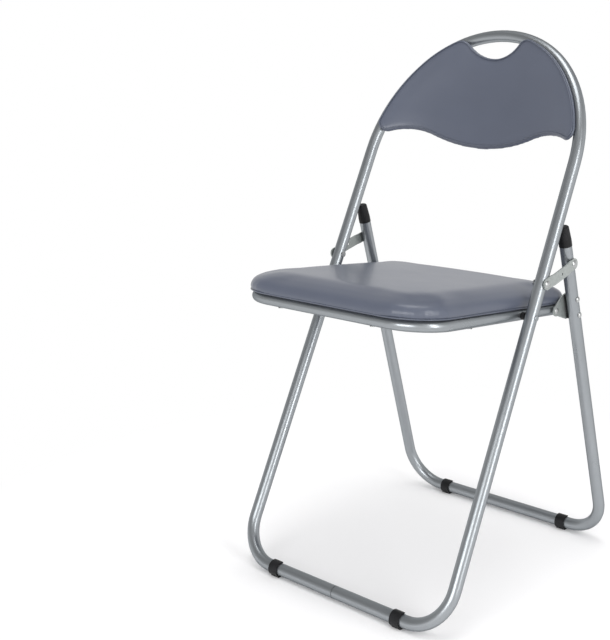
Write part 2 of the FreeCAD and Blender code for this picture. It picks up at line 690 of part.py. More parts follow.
def make_bracket_rivets():
    """Two rivets a side through leg, saddle and bracket, as one group."""
    label = "bracket_rivets"
    radius = d.bracket_rivet_diameter / 2
    tail = d.bracket_rivet_tail
    head = d.rivet_head_height
    head_radius = radius + d.bracket_rivet_flange
    tail_radius = radius + d.bracket_rivet_flange / 2
    shank = leg_outer - bracket_inner + d.slip_fit * 2
    dome_value = (head_radius.value ** 2 + head.value ** 2) / (2 * head.value)
    keep("bracket_rivet_dome", dome_value, "dome of a bracket rivet's head")
    rivets = []
    for name, side in SIDES:
        for number, height in enumerate(BRACKET_RIVETS):
            body = new_body(f"bracket_rivet_{name}_{number}")
            outline = new_sketch(body, "outline", "XZ_Plane")
            draw(outline, (-tail, 0), [
                (shank + head, 0), (shank, head_radius, d.bracket_rivet_dome, 1), (shank, radius),
                (0, radius), (0, tail_radius), (-tail, tail_radius), (-tail, 0),
            ])
            turned(body, "turned", outline, "X_Axis")
            body.Placement = side_placement(FreeCAD.Placement(), side,
                                            (bracket_inner - d.slip_fit).value, 0, height.value)
            rivets.append(body)
    group = doc.addObject("Part::Compound", label)
    group.Links = rivets
    finish(group, label, REAR_FRAME)


def make_cap(name, side):
    """Tapered plastic cap plugged into the open end of a rear leg."""
    label = f"leg_cap_{name}"
    body = new_body(label)
    seat = d.rear_leg_length + d.slip_fit
    top = d.rear_leg_length + d.cap_height
    outer = tube_radius + d.cap_lip
    plug = tube_radius - d.tube_wall - d.slip_fit
    outline = new_sketch(body, "outline", "XZ_Plane")
    draw(outline, (0, d.rear_leg_length - d.cap_plug), [
        (plug, d.rear_leg_length - d.cap_plug), (plug, seat), (outer, seat),
        (outer, seat + d.cap_straight), (d.cap_top_diameter / 2, top - d.cap_top_round),
        (d.cap_top_diameter / 2 - d.cap_top_round, top, d.cap_top_round, 1), (0, top),
        (0, d.rear_leg_length - d.cap_plug),
    ])
    turned(body, "turned", outline, "Z_Axis")
    finish(body, label, REAR_FRAME.multiply(
        FreeCAD.Placement(Vector(side * d.frame_half_width.value, 0, 0), FreeCAD.Rotation())))


def make_foot(label, frame_point, side):
    """Clip-on foot round the floor bar, open towards the back, with a flat sole."""
    body = new_body(label)
    outer = tube_radius + d.foot_wall
    half_sole = d.foot_sole_width / 2
    ring = new_sketch(body, "ring", "YZ_Plane")
    draw_circle(ring, 0, 0, outer)
    pad(body, "clip", ring, d.foot_length, both_ways=True)
    sole = new_sketch(body, "sole", "YZ_Plane")
    draw_box(sole, -half_sole, half_sole, -outer, -tube_radius + d.foot_wall)
    pad(body, "sole_block", sole, d.foot_length, both_ways=True)
    bore = new_sketch(body, "bore", "YZ_Plane")
    draw_circle(bore, 0, 0, tube_radius + d.slip_fit)
    cut(body, "bar_bore", bore, d.foot_length * 2, both_ways=True)
    mouth = body.newObject("PartDesign::SubtractiveBox", "mouth")
    mouth.Length = d.foot_length.value * 2
    mouth.setExpression("Length", (d.foot_length * 2).text)
    mouth.Width = d.tube_diameter.value
    mouth.setExpression("Width", d.tube_diameter.text)
    mouth.Height = d.foot_opening.value
    mouth.setExpression("Height", d.foot_opening.text)
    tilt = FreeCAD.Placement(Vector(), FreeCAD.Rotation(X_AXIS, d.foot_opening_tilt.value))
    mouth.Placement = tilt.multiply(FreeCAD.Placement(
        Vector(-d.foot_length.value, 0, -d.foot_opening.value / 2), FreeCAD.Rotation()))
    base = Vector(side * d.foot_place.value, frame_point.y + DEPTH_SHIFT, frame_point.z)
    finish(body, label, FreeCAD.Placement(base, FreeCAD.Rotation()))


def make_seat_board():
    body = new_body("seat_board")
    low = seat_tube_radius + d.seat_fit
    outline = new_sketch(body, "outline", "XY_Plane", low)
    draw_seat_outline(outline, d.cover_wrap)
    pad(body, "panel", outline, d.seat_board_thickness)
    deep = low + d.screw_bite + d.screw_tip_room
    drill(body, "screw_holes", "XY_Plane", SEAT_SCREWS, screw_hole, deep * 2)
    finish(body, "seat_board", SEAT_FRAME)


def draw_seat_outline(sketch, inset):
    """The seat's rounded outline, drawn in by inset from the cushion's widest line."""
    draw_round_box(
        sketch,
        rail_outer + d.seat_overhang_side - inset,
        -d.seat_front_reach - seat_tube_radius - d.seat_overhang_front + inset,
        d.seat_rear_reach + seat_tube_radius + d.seat_overhang_rear - inset,
        d.seat_front_corner + seat_tube_radius + d.seat_overhang_side,
        d.seat_rear_corner + seat_tube_radius + d.seat_overhang_side,
    )


def make_seat_cushion():
    """Padded seat: drawn in at the rim, widest below half its height, crowned on top."""
    body = new_body("seat_cushion")
    rim = seat_tube_radius + d.seat_fit
    rise = d.seat_pad_height
    wrap = d.cover_wrap
    # Share of the height, and how far the side is drawn in there, in cover thicknesses
    shape = [(0.0, 0.8), (0.16, 0.2), (0.40, 0.0), (0.62, 0.6), (0.80, 2.2), (0.93, 6.0), (1.0, 15.0)]
    sections = []
    for number, (share, inset) in enumerate(shape):
        section = new_sketch(body, f"section_{number}", "XY_Plane", rim + rise * share)
        draw_seat_outline(section, wrap * inset)
        sections.append(section)
    loft = body.newObject("PartDesign::AdditiveLoft", "padding")
    loft.Profile = sections[0]
    loft.Sections = sections[1:]
    doc.recompute()
    recess = new_sketch(body, "board_recess", "XY_Plane", rim)
    draw_seat_outline(recess, wrap - d.seat_fit)
    cut(body, "recess", recess, d.seat_board_thickness + d.seat_fit, backwards=True)
    finish(body, "seat_cushion", SEAT_FRAME)


def make_screws(label, frame, places, turn, low, lengths):
    """A group of pan-head screws along the turned Z axis, head below."""
    screws = []
    for number, ((x, y), length) in enumerate(zip(places, lengths)):
        head = doc.addObject("Part::Cylinder", f"{label}_head_{number}")
        head.Radius = d.screw_head_diameter.value / 2
        head.setExpression("Radius", (d.screw_head_diameter / 2).text)
        head.Height = d.screw_head_height.value
        head.setExpression("Height", d.screw_head_height.text)
        head.Placement = FreeCAD.Placement(Vector(0, 0, -d.screw_head_height.value), FreeCAD.Rotation())
        shank = doc.addObject("Part::Cylinder", f"{label}_shank_{number}")
        shank.Radius = d.screw_diameter.value / 2
        shank.setExpression("Radius", (d.screw_diameter / 2).text)
        shank.Height = length.value
        shank.setExpression("Height", length.text)
        screw = doc.addObject("Part::Fuse", f"{label}_{number}")
        screw.Base = head
        screw.Tool = shank
        at = Vector(as_size(x).value, as_size(y).value, 0)
        screw.Placement = turn.multiply(FreeCAD.Placement(at + Z_AXIS * low.value, FreeCAD.Rotation()))
        screws.append(screw)
    group = doc.addObject("Part::Compound", label)
    group.Links = screws
    finish(group, label, frame)


def back_outline(inset):
    """The back's outline in the hoop's plane, drawn in by inset, as a face.

    From the hand scoop along the hoop's centre line, round the lower corner, over the hollow
    beside it and along the belly, and back on the other side.
    """
    side = d.hoop_side_radius.value
    side_centre = Vector(d.frame_half_width.value - side, d.leg_straight.value, 0)
    lobe = d.back_lobe_radius.value
    start = d.leg_straight.value
    lobe_up = start + d.back_lobe_rise.value + lobe
    lobe_across = side_centre.x + math.sqrt((side - lobe) ** 2 - (lobe_up - side_centre.y) ** 2)
    lobe_centre = Vector(lobe_across, lobe_up, 0)
    notch = d.back_notch_radius.value
    notch_up = start + d.back_notch_rise.value - notch
    notch_across = lobe_across - math.sqrt((notch + lobe) ** 2 - (lobe_up - notch_up) ** 2)
    notch_centre = Vector(notch_across, notch_up, 0)
    drop = d.back_notch_rise.value - d.back_belly_rise.value
    belly = (notch_across ** 2 + drop ** 2) / (2 * drop) - notch
    belly_low = Vector(0, start + d.back_belly_rise.value, 0)
    belly_centre = belly_low + Vector(0, belly, 0)
    top_centre = Vector(0, d.hoop_top_centre.value, 0)
    top = d.hoop_top_radius.value
    hand = d.hand_hole_half_width.value
    ear = Vector(hand, top_centre.y + math.sqrt(top ** 2 - hand ** 2), 0)
    scoop_low = top_centre + Vector(0, top - d.hand_hole_depth.value, 0)
    bend_change = Vector(d.bend_change_across.value, d.bend_change_up.value, 0)
    side_end = side_centre + (lobe_centre - side_centre).normalize() * side
    lobe_end = lobe_centre + (notch_centre - lobe_centre).normalize() * lobe
    notch_end = notch_centre + (belly_centre - notch_centre).normalize() * notch
    corners = [scoop_low, ear, bend_change, side_end, lobe_end, notch_end, belly_low]
    scoop_rise = ear.y - scoop_low.y
    scoop = (hand ** 2 + scoop_rise ** 2) / (2 * scoop_rise)
    bends = [(scoop, 1), (top, -1), (side, -1), (lobe, -1), (notch, 1), (belly, -1)]
    right = [
        arc_between(corners[i], corners[i + 1], radius, turn).toShape()
        for i, (radius, turn) in enumerate(bends)
    ]
    wire = Part.Wire(right)
    mirrored = wire.mirror(Vector(), X_AXIS)
    outline = Part.Wire(Part.__sortEdges__(wire.Edges + mirrored.Edges))
    if inset:
        outline = outline.makeOffset2D(-inset, 0, False, False)
    return Part.Face(outline)


def back_slab(inset):
    """The outline as a thick slab across the hoop's plane, with the ends of the scoop rounded."""
    face = back_outline(inset)
    face.rotate(Vector(), X_AXIS, 90)
    deep = d.frame_half_width.value
    slab = face.extrude(Vector(0, deep, 0))
    slab.translate(Vector(0, -deep / 2, 0))
    lines = [edge for edge in slab.Edges if isinstance(edge.Curve, Part.Line)]
    highest = max(line.CenterOfMass.z for line in lines)
    ends = [line for line in lines if line.CenterOfMass.z > highest - 0.5]
    return slab.makeFillet(d.hand_hole_round.value, ends)


def make_backrest():
    """Dished board in front of the hoop, let into the back of the padded cushion."""
    dish = d.back_dish_radius.value
    thick = d.back_board_thickness.value
    edge = d.back_edge_inset.value
    inset = edge + d.cover_wrap.value / 2
    fit = d.seat_fit.value
    head = tube_radius.value + fit
    board = back_slab(inset).common(Part.makeSphere(dish, BACK_DISH))
    board = board.cut(Part.makeSphere(dish - thick, BACK_DISH))
    for (x, up), length in zip(BACK_SCREWS, BACK_SCREW_LENGTHS):
        start = Vector(x.value, head - length.value - d.screw_tip_room.value, up.value)
        board = board.cut(Part.makeCylinder(screw_hole.value, thick * 2, start, Vector(0, 1, 0)))
    feature = doc.addObject("Part::Feature", "backrest_board")
    feature.Shape = board
    finish(feature, "backrest_board", FRONT_FRAME)
    face_radius = d.back_front_radius.value
    face_centre = dish_centre(face_radius, tube_radius.value + d.back_edge_thickness.value)
    padding = back_slab(edge).common(Part.makeSphere(dish, BACK_DISH))
    padding = padding.cut(Part.makeSphere(face_radius, face_centre))
    face = next(face for face in padding.Faces
                if isinstance(face.Surface, Part.Sphere) and abs(face.Surface.Radius - face_radius) < 1e-6)
    padding = padding.makeFillet(d.back_edge_round.value, face.Edges)
    recess = back_slab(inset - fit).cut(Part.makeSphere(dish - thick - fit, BACK_DISH))
    padding = padding.cut(recess)
    feature = doc.addObject("Part::Feature", "backrest_cushion")
    feature.Shape = padding
    finish(feature, "backrest_cushion", FRONT_FRAME)


make_front_frame_tube()
make_joiner("front_tube_joiner", d.tube_diameter, 0, FRONT_FRAME)
make_rear_frame_tube()
make_seat_frame_tube()
make_joiner("seat_tube_joiner", d.seat_tube_diameter, d.seat_rear_reach, SEAT_FRAME)
for side_name, side_sign in SIDES:
    make_pivot_rivets(side_name, side_sign)
    make_pivot_spacer(side_name, side_sign)
    make_link(side_name, side_sign)
    make_bracket(side_name, side_sign)
    make_bracket_spacer(side_name, side_sign)
    make_cap(side_name, side_sign)
    make_foot(f"front_foot_{side_name}", FRONT_BAR, side_sign)
    make_foot(f"rear_foot_{side_name}", REAR_BAR, side_sign)
make_bracket_rivets()
make_seat_board()
make_seat_cushion()
make_screws("seat_screws", SEAT_FRAME, SEAT_SCREWS, FreeCAD.Placement(), -seat_tube_radius - d.seat_fit,
            [d.seat_tube_diameter + d.seat_fit * 2 + d.screw_bite] * len(SEAT_SCREWS))
make_screws("backrest_screws", FRONT_FRAME, BACK_SCREWS,
            FreeCAD.Placement(Vector(), FreeCAD.Rotation(X_AXIS, 90)), -tube_radius - d.seat_fit,
            BACK_SCREW_LENGTHS)
make_backrest()
doc.recompute()

for thing in doc.Objects:
    if "Invalid" in thing.State or "Error" in thing.State:
        raise RuntimeError(f"{thing.Label} failed: {thing.State}")
os.makedirs("parts", exist_ok=True)
for thing in finished:
    if thing.Shape.isNull() or not thing.Shape.isValid():
        raise RuntimeError(f"{thing.Label} has no sound shape")
for thing in finished:
    thing.Shape.exportStep(f"parts/{thing.Label}.step")
print(len(finished), "sub-parts written")
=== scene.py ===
import json
import math

import bmesh
import bpy
from mathutils import Matrix, Vector


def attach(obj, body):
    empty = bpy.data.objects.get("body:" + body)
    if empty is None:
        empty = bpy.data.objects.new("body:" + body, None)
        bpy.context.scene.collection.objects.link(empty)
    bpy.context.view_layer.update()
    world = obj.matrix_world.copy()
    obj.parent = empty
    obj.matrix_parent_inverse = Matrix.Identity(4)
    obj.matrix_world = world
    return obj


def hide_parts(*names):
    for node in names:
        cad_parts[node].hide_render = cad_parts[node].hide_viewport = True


bl_info = {
    "name": "Folding chair",
    "version": (1, 0, 0),
    "blender": (4, 5, 0),
    "location": "View3D > Sidebar > Chair",
    "description": "Dresses a tube-framed folding chair: padded seat and back, painted tube, plated links",
    "category": "Object",
}

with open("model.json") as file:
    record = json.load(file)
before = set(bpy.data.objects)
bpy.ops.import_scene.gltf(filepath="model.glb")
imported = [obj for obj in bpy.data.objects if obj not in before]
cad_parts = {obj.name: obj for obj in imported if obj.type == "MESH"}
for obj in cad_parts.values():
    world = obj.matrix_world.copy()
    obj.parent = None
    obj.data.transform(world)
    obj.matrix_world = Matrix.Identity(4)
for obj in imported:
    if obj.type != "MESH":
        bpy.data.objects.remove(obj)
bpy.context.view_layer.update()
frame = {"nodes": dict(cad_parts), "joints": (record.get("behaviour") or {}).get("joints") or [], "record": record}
JOINTS = {joint["name"]: joint for joint in frame["joints"]}
SEAT_PIVOT = Vector(JOINTS["seat_fold"]["pos_m"])
BRACKET_PIVOT = Vector(JOINTS["rear_frame_swing"]["pos_m"])
SEAT_TILT = math.atan2(SEAT_PIVOT.z - BRACKET_PIVOT.z, BRACKET_PIVOT.y - SEAT_PIVOT.y)
# Middle of the front floor bar, from which the legs and the hoop rise
FRONT_BAR = Vector((0, -0.19885, 0.0112))
# Turn of the tube in each side of the hoop before its top bend starts
HOOP_TURN = math.radians(45)
# Edges of the frame's solids that turn more than this stay sharp
SHARP_EDGE = math.radians(32)

# How each pad is remeshed, eased and blown up
SEAT_VOXEL, SEAT_EASE, SEAT_PRESSURE = 0.0045, 6, 4.0
BACK_VOXEL, BACK_EASE, BACK_PRESSURE = 0.0024, 4, 3.0
FIT_EASE = 4
EASE_FACTOR = 0.5
CLOTH_FRAMES = 20
FOAM_ROUNDS = 12

# The seat's hem, and the steps of its side from there up: how far it moves in, how far it rises
SEAT_HEM_INSET, SEAT_HEM_RISE = 0.003, 0.0005
SEAT_SIDE = (
    (-0.0024, 0.004), (-0.0006, 0.006), (0.0018, 0.0055), (0.0052, 0.0045),
    (0.0095, 0.0030), (0.0140, 0.0015), (0.0120, 0.0005),
)
SEAT_CORNER_STEPS = 14
# What the cloth holds above the underside, and the band of puckers there
SEAT_HELD, PUCKER_MIDDLE, PUCKER_REACH = 0.003, 0.004, 0.011
# The back pad while it is flat: thickness, depth that the cloth holds, rings of the rolled edge, and how far
# apart the points of its outline lie
BACK_FLAT, BACK_HELD, BACK_RINGS, BACK_SPACING = 0.008, 0.005, 7, 0.003
# Welts: inset from the pad's edge, place on the pad's side, radius
SEAT_WELT_INSET, SEAT_WELT_RISE, SEAT_WELT_RADIUS = 0.0038, 0.0012, 0.0009
BACK_WELT_INSET, BACK_WELT_SHARE, BACK_WELT_RADIUS = 0.0032, 0.93, 0.0008

# Camera of the photograph
CAMERA = {"sensor_width": 36, "lens": 61.64, "shift_x": -0.1484, "shift_y": -0.1094, "clip_end": 50}
CAMERA_PLACE = Vector((1.0007, -1.23365, 0.7487))
CAMERA_TURN, CAMERA_RISE, CAMERA_ROLL = 0.7034, 0.1719, -0.0053
# Lamps: place, size, power
LAMPS = {
    "top_light": (Vector((0.2, -0.1, 2.5)), (1.1, 1.1), 13),
    "strip_light": (Vector((2.3, -0.45, 0.9)), (0.55, 2.4), 20),
    "front_light": (Vector((0.7, -2.6, 0.8)), (1.6, 1.0), 22),
}
LAMP_TARGET = Vector((0, 0, 0.4))
WHITE = (1.0, 1.0, 1.0, 1.0)
FLOOR_COLOUR = (0.945, 0.94, 0.945, 1.0)
FLOOR_RADIUS = 9.0
# Distance from the chair's middle over which the floor turns white
FLOOR_FADE = (0.3, 0.8)
# Level of the light from all round, and of what the paint mirrors overhead and to the front left
SKY_LEVEL, OVERHEAD_LEVEL, ASIDE_LEVEL = 0.92, 0.5, 0.55
FRONT_LEFT = (-0.60, -0.70, 0.39)


class ChairSeatSettings(bpy.types.PropertyGroup):
    """Seat cushion, measured from the seat pivot along the seat."""

    half_width: bpy.props.FloatProperty(
        name="Half width", description="Middle of the seat to the cushion's side",
        default=0.1764, unit="LENGTH")
    front: bpy.props.FloatProperty(
        name="Front", description="Seat pivot to the front edge", default=0.2235, unit="LENGTH")
    rear: bpy.props.FloatProperty(
        name="Rear", description="Seat pivot to the rear edge", default=0.138, unit="LENGTH")
    front_round: bpy.props.FloatProperty(
        name="Front corners", description="Radius of the front corners", default=0.0664, unit="LENGTH")
    rear_round: bpy.props.FloatProperty(
        name="Rear corners", description="Radius of the rear corners", default=0.0424, unit="LENGTH")
    underside: bpy.props.FloatProperty(
        name="Underside", description="Seat rail's centre to the cushion's underside",
        default=0.0085, unit="LENGTH")
    height: bpy.props.FloatProperty(
        name="Height", description="Underside to the top before it swells", default=0.0255, unit="LENGTH")
    swell: bpy.props.FloatProperty(
        name="Swell", description="Most that the cover may swell", default=0.004, unit="LENGTH")
    droop: bpy.props.FloatProperty(
        name="Droop", description="How far the rear corners fall off", default=0.005, unit="LENGTH")


class ChairBackSettings(bpy.types.PropertyGroup):
    """Back cushion, in the plane of the hoop, measured along the legs from the floor bar."""

    lean: bpy.props.FloatProperty(
        name="Lean", description="How far the hoop leans back", default=math.radians(26.9), subtype="ANGLE")
    half_width: bpy.props.FloatProperty(
        name="Half width", description="Middle to the centre of a leg", default=0.191, unit="LENGTH")
    hoop_start: bpy.props.FloatProperty(
        name="Hoop start", description="Floor bar to the start of the hoop", default=0.6647, unit="LENGTH")
    side_radius: bpy.props.FloatProperty(
        name="Side bend", description="Bend of the hoop's sides", default=0.2095, unit="LENGTH")
    lobe_radius: bpy.props.FloatProperty(
        name="Lower corner", description="Radius of the lower corners", default=0.0145, unit="LENGTH")
    lobe_rise: bpy.props.FloatProperty(
        name="Corner height", description="Hoop start to the lowest point of a corner",
        default=0.0305, unit="LENGTH")
    notch_radius: bpy.props.FloatProperty(
        name="Hollow", description="Radius of the hollow beside a corner", default=0.092, unit="LENGTH")
    notch_rise: bpy.props.FloatProperty(
        name="Hollow height", description="Hoop start to the top of the hollow",
        default=0.043, unit="LENGTH")
    belly_rise: bpy.props.FloatProperty(
        name="Belly height", description="Hoop start to the lowest point of the middle",
        default=0.0248, unit="LENGTH")
    hand_half_width: bpy.props.FloatProperty(
        name="Hand scoop", description="Half width of the hand scoop at the tube",
        default=0.054, unit="LENGTH")
    hand_depth: bpy.props.FloatProperty(
        name="Scoop depth", description="Top of the hoop to the bottom of the scoop",
        default=0.0365, unit="LENGTH")
    hand_round: bpy.props.FloatProperty(
        name="Scoop ends", description="Rounding of the scoop's ends", default=0.022, unit="LENGTH")
    back_gap: bpy.props.FloatProperty(
        name="Back face", description="Hoop's plane to the back of the pad at the sides",
        default=0.01085, unit="LENGTH")
    front_gap: bpy.props.FloatProperty(
        name="Front face", description="Hoop's plane to the front of the pad at the sides",
        default=0.01785, unit="LENGTH")
    back_dish: bpy.props.FloatProperty(
        name="Back dish", description="Radius of the dished back", default=0.4, unit="LENGTH")
    front_dish: bpy.props.FloatProperty(
        name="Front dish", description="Radius of the dished front", default=0.415, unit="LENGTH")
    dish_rise: bpy.props.FloatProperty(
        name="Dish middle", description="Hoop start to the middle of the dish", default=0.004, unit="LENGTH")
    edge_inset: bpy.props.FloatProperty(
        name="Edge inset", description="Hoop's centre line to the edge of the pad",
        default=0.0015, unit="LENGTH")
    edge_round: bpy.props.FloatProperty(
        name="Edge", description="Depth of the rounded front edge", default=0.0055, unit="LENGTH")
    edge_roll: bpy.props.FloatProperty(
        name="Edge roll", description="How far the rounded edge reaches inwards",
        default=0.0115, unit="LENGTH")
    swell: bpy.props.FloatProperty(
        name="Swell", description="Most that the cover may swell", default=0.0015, unit="LENGTH")


class ChairFinishSettings(bpy.types.PropertyGroup):
    """Colours of the chair."""

    paint: bpy.props.FloatVectorProperty(
        name="Frame paint", description="Silver-grey paint of the tubes", subtype="COLOR",
        default=(0.345, 0.366, 0.384))
    vinyl: bpy.props.FloatVectorProperty(
        name="Vinyl", description="Blue-grey cover of seat and back", subtype="COLOR",
        default=(0.079, 0.091, 0.126))
    underside: bpy.props.FloatVectorProperty(
        name="Underside", description="Cover below the seat and behind the back", subtype="COLOR",
        default=(0.082, 0.092, 0.118))
    plastic: bpy.props.FloatVectorProperty(
        name="Plastic", description="Black feet, caps and spacers", subtype="COLOR",
        default=(0.007, 0.007, 0.008))
    zinc: bpy.props.FloatVectorProperty(
        name="Plated steel", description="Links and brackets", subtype="COLOR",
        default=(0.36, 0.385, 0.375))
    rivet: bpy.props.FloatVectorProperty(
        name="Rivets", description="Rivets and screws", subtype="COLOR", default=(0.47, 0.48, 0.48))


class Socket:
    """An output of a finish's node tree, with the arithmetic that the finishes use."""

    def __init__(self, finish, socket):
        self.finish = finish
        self.socket = socket

    def __add__(self, other):
        return self.finish.maths("ADD", self, other)

    def __sub__(self, other):
        return self.finish.maths("SUBTRACT", self, other)

    def __mul__(self, other):
        return self.finish.maths("MULTIPLY", self, other)


class Finish:
    """A procedural material, or the studio's world, under construction."""

    def __init__(self, name, kind="materials"):
        self.owner = getattr(bpy.data, kind).new(name)
        self.owner.use_nodes = True
        self.tree = self.owner.node_tree
        self.tree.nodes.clear()

    def node(self, kind, settings=None, inputs=None, output=0):
        """Adds a node, sets its settings first, then its sockets from values or links."""
        node = self.tree.nodes.new(kind)
        for name, value in (settings or {}).items():
            setattr(node, name, value)
        for name, value in (inputs or {}).items():
            if isinstance(value, Socket):
                self.tree.links.new(value.socket, node.inputs[name])
            else:
                node.inputs[name].default_value = value
        return Socket(self, node.outputs[output])

    def maths(self, operation, first, second):
        return self.node("ShaderNodeMath", {"operation": operation}, {0: first, 1: second})

    def place(self):
        return self.node("ShaderNodeTexCoord", output="Object")

    def ray(self, kind):
        return self.node("ShaderNodeLightPath", output=f"Is {kind} Ray")

    def noise(self, place, scale, detail=2.0, roughness=0.5):
        return self.node("ShaderNodeTexNoise", None, {
            "Vector": place, "Scale": scale, "Detail": detail, "Roughness": roughness}, "Fac")

    def cells(self, place, scale, feature="F1"):
        return self.node("ShaderNodeTexVoronoi", {"feature": feature}, {
            "Vector": place, "Scale": scale}, "Distance")

    def between(self, value, low, high, start=0.0, end=1.0):
        """Maps a value from low..high to start..end, held at both ends."""
        return self.node("ShaderNodeMapRange", None, {
            "Value": value, "From Min": low, "From Max": high, "To Min": start, "To Max": end})

    def colour(self, share, first, second):
        return self.node("ShaderNodeMix", {"data_type": "RGBA"}, {
            "Factor": share, 6: (*first, 1.0), 7: (*second, 1.0)}, 2)

    def bump(self, height, strength, distance):
        return self.node("ShaderNodeBump", None, {
            "Strength": strength, "Distance": distance, "Height": height})

    def surface(self, **sockets):
        """Ends the tree in one Principled shader; a name's underscores stand for spaces."""
        inputs = {name.replace("_", " "): value for name, value in sockets.items()}
        return self.end(self.node("ShaderNodeBsdfPrincipled", None, inputs))

    def end(self, shader, output="ShaderNodeOutputMaterial"):
        self.tree.links.new(shader.socket, self.tree.nodes.new(output).inputs["Surface"])
        return self.owner


def shade(colour, factor):
    return tuple(min(1.0, channel * factor) for channel in colour)


def painted_tube(colour):
    """Silver-grey metallic paint: fine flake and a slightly uneven gloss."""
    finish = Finish("silver_paint")
    place = finish.place()
    flake = finish.cells(place, scale=2600.0)
    cloud = finish.noise(place, scale=14.0, detail=3.0)
    share = finish.between(flake, 0.1, 0.7) * 0.6 + finish.between(cloud, 0.3, 0.7) * 0.4
    return finish.surface(
        Base_Color=finish.colour(share, shade(colour, 0.90), shade(colour, 1.06)),
        Metallic=0.9,
        Roughness=finish.between(cloud, 0.3, 0.7, 0.27, 0.33),
        # Flake lies along the surface, so the paint is duller at grazing angles
        Specular_Tint=(0.30, 0.31, 0.32, 1.0),
        Coat_Weight=0.06,
        Coat_Roughness=0.12,
    )


def vinyl_cover(colour):
    """Smooth upholstery vinyl: fine pressed grain, soft gloss and puckers along the hem."""
    finish = Finish("blue_grey_vinyl")
    place = finish.place()
    grain = finish.cells(place, scale=900.0, feature="SMOOTH_F1")
    fine = finish.noise(place, scale=1500.0)
    cloud = finish.noise(place, scale=9.0, detail=3.0)
    hem = finish.node("ShaderNodeAttribute", {"attribute_name": "hem"}, None, "Fac")
    tight = finish.node("ShaderNodeMapping", None, {"Vector": place, "Scale": (1.0, 1.0, 0.25)})
    pucker = finish.noise(tight, scale=75.0)
    leather = finish.bump(grain * 0.7 + fine * 0.3, strength=0.10, distance=0.0004)
    normal = finish.node("ShaderNodeBump", None, {
        "Strength": 0.15, "Distance": 0.0015, "Height": pucker * hem, "Normal": leather})
    return finish.surface(
        Base_Color=finish.colour(finish.between(cloud, 0.3, 0.7), shade(colour, 0.95), shade(colour, 1.05)),
        Roughness=finish.between(fine + cloud, 0.7, 1.3, 0.36, 0.44),
        Specular_IOR_Level=0.55,
        Coat_Weight=0.22,
        Coat_Roughness=0.16,
        Normal=normal,
    )


def panel_cover(colour):
    """Plain grey cover of the panels: a dull sheet with a fine matted texture."""
    finish = Finish("panel_cover")
    place = finish.place()
    fibre = finish.noise(place, scale=900.0, detail=4.0, roughness=0.7)
    cloud = finish.noise(place, scale=20.0, detail=3.0)
    return finish.surface(
        Base_Color=finish.colour(finish.between(fibre * 0.6 + cloud * 0.4, 0.35, 0.65),
                                 shade(colour, 0.88), shade(colour, 1.10)),
        Roughness=finish.between(cloud, 0.3, 0.7, 0.55, 0.68),
        Normal=finish.bump(fibre, strength=0.15, distance=0.0004),
    )


def black_plastic(colour):
    """Moulded black plastic with a fine spark-eroded texture and slightly rubbed tone."""
    finish = Finish("black_plastic")
    place = finish.place()
    grit = finish.noise(place, scale=1800.0)
    rub = finish.noise(place, scale=60.0, detail=4.0)
    return finish.surface(
        Base_Color=finish.colour(finish.between(rub, 0.45, 0.75), colour, shade(colour, 2.2)),
        Roughness=finish.between(rub, 0.3, 0.7, 0.42, 0.58),
        Specular_IOR_Level=0.25,
        Normal=finish.bump(grit, strength=0.2, distance=0.0003),
    )


def plated_steel(colour):
    """Zinc-plated sheet: faint crystal mottling and drawn lines."""
    finish = Finish("plated_steel")
    place = finish.place()
    crystal = finish.cells(place, scale=240.0)
    drawn = finish.node("ShaderNodeMapping", None, {"Vector": place, "Scale": (1.0, 0.08, 1.0)})
    lines = finish.noise(drawn, scale=1400.0, detail=3.0)
    share = finish.between(crystal, 0.1, 0.8) * 0.5 + lines * 0.5
    return finish.surface(
        Base_Color=finish.colour(share, shade(colour, 0.82), shade(colour, 1.12)),
        Metallic=0.6,
        Roughness=finish.between(share, 0.3, 0.7, 0.30, 0.42),
        Normal=finish.bump(lines, strength=0.06, distance=0.0003),
    )


def bright_rivet(colour):
    """Bright plated rivets and screws, dulled unevenly."""
    finish = Finish("bright_rivet")
    place = finish.place()
    dull = finish.noise(place, scale=300.0, detail=4.0)
    return finish.surface(
        Base_Color=finish.colour(finish.between(dull, 0.3, 0.7), shade(colour, 0.85), shade(colour, 1.12)),
        Metallic=1.0,
        Roughness=finish.between(dull, 0.3, 0.7, 0.24, 0.36),
        Normal=finish.bump(dull, strength=0.05, distance=0.0003),
    )


def new_object(name, data):
    """Links an object to the scene, at the origin."""
    item = bpy.data.objects.new(name, data)
    bpy.context.scene.collection.objects.link(item)
    return item


def shade_smooth(mesh):
    for polygon in mesh.polygons:
        polygon.use_smooth = True


def new_piece(name, bm, material):
    """Makes a smooth-shaded object of a finished bmesh."""
    mesh = bpy.data.meshes.new(name)
    bm.to_mesh(mesh)
    bm.free()
    shade_smooth(mesh)
    mesh.materials.append(material)
    return new_object(name, mesh)


def apply_modifiers(piece):
    """Bakes the piece's modifiers into its mesh."""
    graph = bpy.context.evaluated_depsgraph_get()
    baked = bpy.data.meshes.new_from_object(piece.evaluated_get(graph))
    piece.modifiers.clear()
    old = piece.data
    piece.data = baked
    bpy.data.meshes.remove(old)
    shade_smooth(baked)


